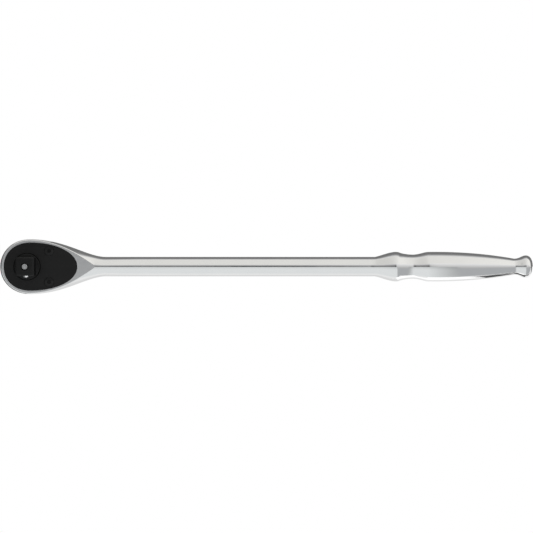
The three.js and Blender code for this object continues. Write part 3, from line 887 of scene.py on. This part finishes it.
def drive():
    shell = Shell()
    tip_chamfer = 0.5
    foot = 0.2
    mouth = PIN_R + 0.32
    collar_edge = 0.35
    break_edge = 0.2
    root_edge = 0.15
    shell.fill([square_outline(-tip_chamfer), circle(mouth)], 0)
    shell.sweep(square_outline, [
        (-tip_chamfer, 0), (-0.4, -0.03), (-0.04, -0.38), (0, -tip_chamfer),
        (0, COLLAR_TOP + foot), (0.06, COLLAR_TOP + 0.06), (foot, COLLAR_TOP),
    ])
    shell.fill([circle(COLLAR_R - collar_edge), square_outline(foot)], COLLAR_TOP)
    shell.turn([*reversed(rounded(COLLAR_R, COLLAR_TOP - collar_edge, collar_edge, 1)), (COLLAR_R, GEAR_TOP)])
    face_r = GEAR_ROOT_R - root_edge
    shell.fill([circle(face_r, 144), circle(COLLAR_R)], GEAR_TOP)
    shell.turn([
        (face_r, GEAR_TOP), (GEAR_ROOT_R, GEAR_TOP - root_edge),
        (GEAR_ROOT_R, GEAR_BOTTOM + root_edge), (face_r, GEAR_BOTTOM),
    ], 144)
    shell.fill([circle(face_r, 144), circle(BOSS_R)], GEAR_BOTTOM)
    groove_low, groove_high, groove_r = HEAD_BACK + 0.55, HEAD_BACK + 1.25, 5.3
    pin_bore = PIN_R + PLAY
    shell.turn([
        (BOSS_R, GEAR_BOTTOM), (BOSS_R, HEAD_BACK + break_edge), (BOSS_R - break_edge, HEAD_BACK),
        (BUTTON_BORE_R + break_edge, HEAD_BACK), (BUTTON_BORE_R, HEAD_BACK + break_edge),
        (BUTTON_BORE_R, groove_low), (groove_r, groove_low),
        (groove_r, groove_high), (BUTTON_BORE_R, groove_high),
        (BUTTON_BORE_R, SPRING_SEAT), (pin_bore, SPRING_SEAT), (pin_bore, -0.3), (mouth, 0),
    ])
    piece = shell.piece("drive_gear_and_square", drive_black)

    pocket = Shell()
    lip = 0.3
    bottom = 0.4
    face = SQUARE / 2
    pocket.turn([
        (0, bottom), (BALL_R + 0.1, bottom), (BALL_R + 0.1, face - lip),
        (BALL_R - 0.03, face - lip + 0.1), (BALL_R + 0.02, face - 0.05), (BALL_R + 0.12, face + 1),
        (0, face + 1),
    ], 64)
    towards_ball = Matrix.Translation((0, 0, BALL.z)) @ Matrix.Rotation(math.radians(90), 4, "X")
    return cut(piece, pocket.piece("ball_pocket", drive_black, turn=towards_ball))


def gear_teeth():
    """The V teeth, sunk a little into the gear's root cylinder."""
    sunk = 0.12
    pitch = 2 * math.pi * GEAR_ROOT_R / TEETH
    piece = object_of("drive_gear_teeth", bpy.data.meshes.new("drive_gear_teeth"), ())
    teeth_ring.make(
        piece, Count=TEETH, Root_Radius=(GEAR_ROOT_R - sunk) * MM,
        Depth=(GEAR_TIP_R - GEAR_ROOT_R + sunk) * MM, Width=pitch * 1.16 * MM,
        Length=(GEAR_TOP - GEAR_BOTTOM - 0.02) * MM, Middle=(GEAR_TOP + GEAR_BOTTOM) / 2 * MM,
        Material=drive_black,
    )
    return piece


finished(drive(), "drive", "black_drive_steel", "drive_gear")
finished(gear_teeth(), "drive", "black_drive_steel")


def thrust_washer():
    """A thin waved ring."""
    inner, outer, middle, half, wave = 7.6, 10.4, FLOOR + 0.23, 0.1, 0.045
    waves, steps = 3, 120
    shell = Shell()
    rows = []
    for radius, side in ((inner, -1), (outer, -1), (outer, 1), (inner, 1), (inner, -1)):
        loop = circle(radius, steps)
        lift = [middle + side * half + wave * math.cos(waves * 2 * math.pi * k / steps) for k in range(steps)]
        rows.append([(x, y, z) for (x, y), z in zip(loop, lift)])
    shell.grid(rows, True)
    return shell.piece("wave_washer", springs)


def o_ring(name, radius, section, z, x=0.0):
    shell = Shell()
    shell.turn(arc(radius, z, section, 0, 2 * math.pi, 20), 72, x)
    return shell.piece(name, rubber)


finished(thrust_washer(), "handle", "spring_steel", "gear_thrust_washer")
finished(o_ring("boss_seal", 6.7, 0.48, FLOOR - 0.16), "handle", "seal_rubber", "gear_boss_seal")


# ---------- quick release ----------


def release_pin():
    hold = BALL.z - 0.1
    bottom = HEAD_BACK - 0.6
    neck, ramp, length = 0.95, 0.7, 2.0
    shell = Shell()
    shell.turn([
        (0, bottom), (PIN_R - 0.2, bottom), (PIN_R, bottom + 0.2),
        (PIN_R, hold - 2 * ramp - length), (neck, hold - ramp - length), (neck, hold - ramp), (PIN_R, hold),
        (PIN_R, -0.5), (PIN_R - 0.26, -0.04), (PIN_R - 0.3, 0),
        (0.8, 0), (0.74, -0.06), (0.62, -0.06), (0.56, 0), (0, 0),
    ], 64)
    return shell.piece("release_pin_turned", bright)


def release_button():
    face = low("release_button").z
    flange_low, flange_high = HEAD_BACK + 1.3, HEAD_BACK + 2.1
    radius, flange = 4.1, 4.6
    bore = PIN_R + 0.05
    shell = Shell()
    dome = bend(Vector((0, face)), Vector((radius - 0.4, face)), Vector((radius, face + 0.7)), 16)
    shell.turn([
        *[tuple(p) for p in dome], (radius, flange_low - 0.1), (flange, flange_low),
        (flange, flange_high - 0.1), (flange - 0.1, flange_high), (bore + 0.15, flange_high),
        (bore, flange_high - 0.15), (bore, HEAD_BACK - 0.7), (0, HEAD_BACK - 0.7),
    ])
    return shell.piece("release_button_domed", control_black)


def spring(name, radius, wire, height, turns, matrix):
    piece = object_of(name, bpy.data.meshes.new(name), ())
    coils.make(
        piece, Radius=radius * MM, Wire_Radius=wire * MM, Height=(height - 2 * wire) * MM,
        Turns=turns, Steps=36, Material=springs,
    )
    return moved(piece, matrix @ Matrix.Translation((0, 0, wire * MM)))


def ring_end(middle, width, angle, start):
    """The half circle that rounds an open ring's end."""
    return arc(middle * math.cos(angle), middle * math.sin(angle), width, start, start + math.pi, 12)


def split_ring(outer, inner, gap, facing):
    """The outline of an open ring with round ends."""
    start, end = facing + gap / 2, facing - gap / 2 + 2 * math.pi

    def outline(offset):
        width = (outer - inner) / 2 + offset
        middle = (outer + inner) / 2
        loop = arc(0, 0, middle + width, start, end, 90)
        loop += ring_end(middle, width, end, end)[1:-1]
        loop += reversed(arc(0, 0, middle - width, start, end, 90))
        loop += ring_end(middle, width, start, start + math.pi)[1:-1]
        return loop

    return outline


def circlip(name, outline, bottom, top, x=0.0, angle=0.0):
    edge = 0.08
    shell = Shell()
    shell.fill([outline(-edge)], bottom)
    shell.sweep(outline, [(-edge, bottom), (0, bottom + edge), (0, top - edge), (-edge, top)])
    shell.fill([outline(-edge)], top)
    return shell.piece(name, springs, turn=axis_turn(angle, x))


def ball():
    shell = Shell()
    profile = arc(0, 0, BALL_R, -math.pi / 2, math.pi / 2, 32)
    shell.turn([(abs(r), z) for r, z in profile], 64)
    return shell.piece("detent_ball_polished", ball_steel, turn=Matrix.Translation(BALL))


finished(release_pin(), "release", "bright_steel", "release_pin")
finished(release_button(), "release", "black_control", "release_button")
finished(ball(), "detent", "bright_steel", "detent_ball")
button_spring_low = high("release_button").z + FACE_GAP
finished(
    spring("release_coil_spring", 3.0, 0.22, SPRING_SEAT - FACE_GAP - button_spring_low, 4.0,
           Matrix.Translation((0, 0, button_spring_low * MM))),
    "drive", "spring_steel", "release_spring",
)
ring_low, ring_high = low("button_retaining_ring").z, high("button_retaining_ring").z
finished(
    circlip("button_circlip", split_ring(5.2, 4.22, 0.7, 0.0), ring_low, ring_high),
    "drive", "spring_steel", "button_retaining_ring",
)


# ---------- pawl and reversing lever ----------


def pawl():
    """The CAD pawl's own shape, merged, with its edges broken."""
    bm = bmesh.new()
    bm.from_mesh(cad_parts["pawl"].data)
    bmesh.ops.remove_doubles(bm, verts=bm.verts, dist=2e-6)
    bmesh.ops.dissolve_limit(bm, angle_limit=math.radians(1), verts=bm.verts, edges=bm.edges)
    mesh = bpy.data.meshes.new("double_ended_pawl")
    bm.to_mesh(mesh)
    bm.free()
    piece = object_of("double_ended_pawl", mesh, (springs,))
    modifier = piece.modifiers.new("broken_edges", "BEVEL")
    modifier.width = 0.00004
    modifier.segments = 2
    modifier.limit_method = "ANGLE"
    return resharpened(evaluated(piece))


def pivot_pin():
    bottom, top = low("pawl_pivot_pin").z, high("pawl_pivot_pin").z
    edge = 0.2
    shell = Shell()
    shell.turn([
        (0, bottom), (PAWL_PIN_R - edge, bottom), (PAWL_PIN_R, bottom + edge),
        (PAWL_PIN_R, top - edge), (PAWL_PIN_R - edge, top), (0, top),
    ], 48, PAWL_X)
    return shell.piece("pawl_pivot_ground", bright)


def lever_outline(offset=0.0):
    """Hub and thumb tab under one skin, drawn along +X from the shaft."""
    lean = math.acos((LEVER_HUB_R - LEVER_TAB_R) / LEVER_ARM)
    loop = arc(0, 0, LEVER_HUB_R + offset, lean, 2 * math.pi - lean, 72)
    loop += arc(LEVER_ARM, 0, LEVER_TAB_R + offset, -lean, lean, 40)
    return loop


def lever():
    top = HEAD_BACK - 0.2
    seal_low, seal_high, seal_r = HEAD_BACK + 0.7, HEAD_BACK + 1.5, 1.9
    clip_low, clip_high, clip_r = FLOOR + 0.05, FLOOR + 0.65, 2.1
    shaft_top = high("reverse_lever").z
    edge = 0.5
    shell = Shell()
    shell.fill([lever_outline(-edge)], LEVER_FACE)
    shell.sweep(lever_outline, [
        *reversed(rounded(0, LEVER_FACE + edge, edge, -1, 6)), (0, top - 0.2), (-0.2, top),
    ])
    shell.fill([lever_outline(-0.2), circle(LEVER_SHAFT_R, 64)], top)
    shell.turn([
        (LEVER_SHAFT_R, top),
        (LEVER_SHAFT_R, seal_low), (seal_r, seal_low), (seal_r, seal_high), (LEVER_SHAFT_R, seal_high),
        (LEVER_SHAFT_R, clip_low), (clip_r, clip_low), (clip_r, clip_high), (LEVER_SHAFT_R, clip_high),
        (LEVER_SHAFT_R, shaft_top - 0.3), (LEVER_SHAFT_R - 0.3, shaft_top), (0, shaft_top),
    ], 64)
    piece = shell.piece("reversing_lever", control_black, turn=axis_turn(LEVER_ANGLE, LEVER_X))

    bore = Shell()
    bottom, mouth, radius = -1.8, 4, PLUNGER_R + 0.1
    bore.turn([(0, bottom), (radius, bottom), (radius, mouth), (0, mouth)], 48)
    return cut(piece, bore.piece("plunger_bore", control_black, turn=towards_pawl()))


def towards_pawl():
    """Turns a shape drawn up along Z to lie along the plunger, from the shaft to the pawl."""
    lie = Matrix.Translation((0, 0, PLUNGER_Z)) @ Matrix.Rotation(math.radians(-90), 4, "Y")
    return axis_turn(LEVER_ANGLE, LEVER_X) @ lie


def lever_ribs():
    """Rounded grip ribs across the thumb tab."""
    length, width = 1.55, 0.3
    shell = Shell()

    def stadium(offset):
        reach = length + offset
        half = width + offset
        loop = arc(reach - half, 0, half, -math.pi / 2, math.pi / 2, 10)
        return loop + arc(half - reach, 0, half, math.pi / 2, 1.5 * math.pi, 10)

    shell.fill([stadium(0)], 0.1)
    shell.sweep(stadium, [(0, 0.1), (0, 0), *rounded(0, 0, RIB_HEIGHT, -1, 6)])
    shell.fill([stadium(-RIB_HEIGHT)], -RIB_HEIGHT)
    piece = shell.piece("lever_thumb_ribs", control_black)
    row.make(piece, Count=5, Spacing=0.92 * MM, Material=control_black)
    across = Matrix.Translation((0, 0, LEVER_FACE)) @ axis_turn(math.radians(90), LEVER_ARM)
    return moved(piece, metres(axis_turn(LEVER_ANGLE, LEVER_X) @ across))


def plunger():
    tail = 1.1
    shoulder = PLUNGER_REACH - PLUNGER_R
    shell = Shell()
    chamfer = 0.12
    tip = [(abs(r), z) for r, z in arc(0, shoulder, PLUNGER_R, 0, math.pi / 2, 12)]
    shell.turn([(0, tail), (PLUNGER_R - chamfer, tail), (PLUNGER_R, tail + chamfer), *tip], 48)
    return shell.piece("pawl_plunger_round_nosed", bright, turn=towards_pawl())


finished(pawl(), "pawl", "spring_steel", "pawl")
finished(pivot_pin(), "handle", "bright_steel", "pawl_pivot_pin")
finished(lever(), "reverser", "black_control", "reverse_lever")
finished(lever_ribs(), "reverser", "black_control")
finished(plunger(), "plunger", "bright_steel", "pawl_plunger")
finished(
    o_ring("lever_seal", 2.27, 0.34, HEAD_BACK + 1.1, LEVER_X),
    "reverser", "seal_rubber", "lever_shaft_seal",
)
clip_low, clip_high = low("lever_retaining_ring").z, high("lever_retaining_ring").z
finished(
    circlip("lever_circlip", split_ring(3.3, 2.2, 1.2, math.pi), clip_low, clip_high, LEVER_X, LEVER_ANGLE),
    "reverser", "spring_steel", "lever_retaining_ring",
)
spring_start = Matrix.Translation((0, 0, -1.7 * MM))
finished(
    spring("plunger_coil_spring", 0.6, 0.12, 2.75, 4.0, metres(towards_pawl()) @ spring_start),
    "reverser", "spring_steel", "plunger_spring",
)


# ---------- stage, light and camera ----------


def glow(name, tone, tint=(1, 1, 1)):
    """A plain glow, for the floor and the cards round the set."""
    material = bpy.data.materials.new(name)
    material.use_nodes = True
    tree = material.node_tree
    tree.nodes.remove(tree.nodes["Principled BSDF"])
    shader = tree.nodes.new("ShaderNodeEmission")
    shader.inputs["Strength"].default_value = tone
    shader.inputs["Color"].default_value = (*tint, 1)
    tree.links.new(shader.outputs[0], tree.nodes["Material Output"].inputs["Surface"])
    return material


def graded_glow(name, near_tone, far_tone, near_y, far_y, fade=None, tint=(1, 1, 1)):
    """A glow that changes along Y between two places, and may also fade to nearly half along X."""
    material = glow(name, 1.0, tint)
    t = Tree(material.node_tree)
    split = t.node("SeparateXYZ", {0: t.node("TexCoord").outputs["Object"]})
    tone = t.spread(split.outputs["Y"], near_y, far_y, near_tone, far_tone)
    if fade:
        tone = t.math("MULTIPLY", tone, t.spread(split.outputs["X"], *fade, 1.0, 0.54))
    t.tree.links.new(tone, t.tree.nodes["Emission"].inputs["Strength"])
    return material


def card(name, first, second, material, seen=False):
    """A card between two opposite corners, level or upright; unless it is seen, only reflections show it."""
    (x_low, y_low, z_low), (x_high, y_high, z_high) = first, second
    mesh = bpy.data.meshes.new(name)
    corners = [
        (x_low, y_low, z_low), (x_high, y_low, z_high), (x_high, y_high, z_high), (x_low, y_high, z_low),
    ]
    mesh.from_pydata(corners, [], [(0, 1, 2, 3)])
    made = object_of(name, mesh, (material,))
    made.visible_camera = seen
    made.visible_diffuse = seen
    made.visible_shadow = False


def light_tent():
    """Soft light all round: even on the far side, fading towards the handle's end on the near side."""
    world = bpy.data.worlds.new("light_tent")
    bpy.context.scene.world = world
    world.use_nodes = True
    t = Tree(world.node_tree)
    split = t.node("SeparateXYZ", {0: t.node("TexCoord").outputs["Generated"]})
    x, y = split.outputs["X"], split.outputs["Y"]
    far_tone = t.spread(x, -0.45, 0.45, 0.69, 0.91)
    side = t.spread(y, -0.03, 0.03, 0.0, 1.0)
    tone = t.node("Mix", {0: side, 2: 0.45, 3: far_tone}, data_type="FLOAT").outputs[0]
    tone = t.math("MULTIPLY", tone, t.spread(x, -0.95, -0.6, 0.25, 1.0))
    tint = t.blend(side, (0.97, 0.995, 1.02), (1.01, 1.0, 0.965))
    seen = t.node("LightPath").outputs["Is Camera Ray"]
    background = t.tree.nodes["Background"]
    t.tree.links.new(t.blend(seen, tint, (1, 1, 1)), background.inputs["Color"])
    strength = t.node("Mix", {0: seen, 2: tone, 3: 1.0}, data_type="FLOAT").outputs[0]
    t.tree.links.new(strength, background.inputs["Strength"])


def near_tent(radius, x_low, x_high, near_tone, zenith_tone):
    """The near side of the tent: a quarter of a tube along the handle, dimmer where it passes overhead."""
    steps = 24
    shell = Shell()
    arch = [math.radians(2 + 98 * k / steps) for k in range(steps + 1)]
    shell.grid([
        [Vector((x / MM, -radius * math.sin(a) / MM, MID + radius * math.cos(a) / MM)) for a in arch]
        for x in (x_low, x_high)
    ])
    cool = (0.975, 1.0, 1.005)
    cloth = graded_glow("near_tent", near_tone, zenith_tone, -0.45 * radius, 0.0, (0.222, x_high), cool)
    tent = shell.piece("near_tent", cloth)
    tent.visible_camera = False
    tent.visible_diffuse = False
    tent.visible_shadow = False


def soft_light(name, place, aim, width, depth, power):
    light = bpy.data.lights.new(name, "AREA")
    light.shape = "RECTANGLE"
    light.size = width
    light.size_y = depth
    light.energy = power
    made = bpy.data.objects.new(name, light)
    bpy.context.scene.collection.objects.link(made)
    made.location = place
    made.rotation_euler = (Vector(aim) - Vector(place)).to_track_quat("-Z", "Y").to_euler()
    made.visible_camera = False
    made.visible_glossy = False


FLOOR_Z = cad_bounds[0].z - 0.0001
CARD_Z = FLOOR_Z + 0.00005
UPPER_CARD_Z = CARD_Z + 0.00005
OVERHEAD_Z = 1.5

# A card's name, its two opposite corners in metres, and its tone or the values of its graded glow.
CARDS = (
    ("nose_card", (-0.3, -0.3, CARD_Z), (-0.008, 0.3, CARD_Z), 0.13),
    ("nose_screen", (-0.1, -0.25, FLOOR_Z), (-0.1, 0.14, 0.12), 0.09),
    ("chin_card", (-0.008, -0.3, CARD_Z), (-0.002, 0.0, CARD_Z), 0.13),
    ("head_card", (-0.008, 0.0, CARD_Z), (0.012, 0.3, CARD_Z), 0.42),
    # Painted shadow: the far card is darkest right beside the handle. It stands in for the handle's contact
    # shadow on the floor and shows only in the chrome's reflections.
    ("far_floor_shadow_card", (0.012, 0.0, CARD_Z), (3, 3, CARD_Z), (0.18, 0.68, 0.025, 0.12)),
    ("near_card", (-0.002, -3, CARD_Z), (0.197, 0.0, CARD_Z), (0.76, 0.9, -0.02, -0.04)),
    ("grip_card", (0.197, -0.3, CARD_Z), (0.26, 0.0, CARD_Z), (0.82, 1.25, -0.015, -0.03)),
    # Painted shadow: the two heel cards are dark sheets standing in for the handle's contact shadow on the
    # floor below the grip and bell. They show only in reflections.
    ("heel_shadow_card", (0.243, -0.075, UPPER_CARD_Z), (0.2605, -0.016, UPPER_CARD_Z), 0.06),
    ("outer_heel_shadow_card", (0.2635, -0.15, CARD_Z), (0.32, -0.035, CARD_Z), 0.06),
    ("end_card", (0.275, -0.013, UPPER_CARD_Z), (0.4, 0.08, UPPER_CARD_Z), 0.17),
    ("overhead_gap", (-2.5, -0.1, OVERHEAD_Z), (0.28, 0.65, OVERHEAD_Z), (0.13, 0.76, 0.08, 0.62)),
    ("overhead_shade", (0.28, -0.42, OVERHEAD_Z), (3, 0.68, OVERHEAD_Z), (0.44, 0.89, -0.42, 0.66)),
    ("overhead_stop", (0.065, -0.06, 1.25), (0.185, 0.22, 1.25), 0.012),
)

light_tent()
card("floor", (-3, -3, FLOOR_Z), (3.3, 3, FLOOR_Z), glow("light_table", 1.0), seen=True)
near_tent(0.28, -1.5, 0.272, 0.82, 0.62)
for name, first, second, tone in CARDS:
    card(name, first, second, graded_glow(name, *tone) if isinstance(tone, tuple) else glow(name, tone))

VIEW_DISTANCE = 1.15
middle = Vector((0.12515, 0.00008, MID * MM))
soft_light("near_soft_light", (0.1, -0.9, 0.7), middle, 1.6, 0.8, 3.0)

LENS = 147.9
camera_data = bpy.data.cameras.new("camera")
camera_data.sensor_width = 36
camera_data.lens = LENS
camera_data.clip_start = 0.01
camera = bpy.data.objects.new("camera", camera_data)
bpy.context.scene.collection.objects.link(camera)
camera.location = middle + Vector((0, 0, VIEW_DISTANCE))
bpy.context.scene.camera = camera
bpy.context.scene.view_settings.view_transform = "Standard"
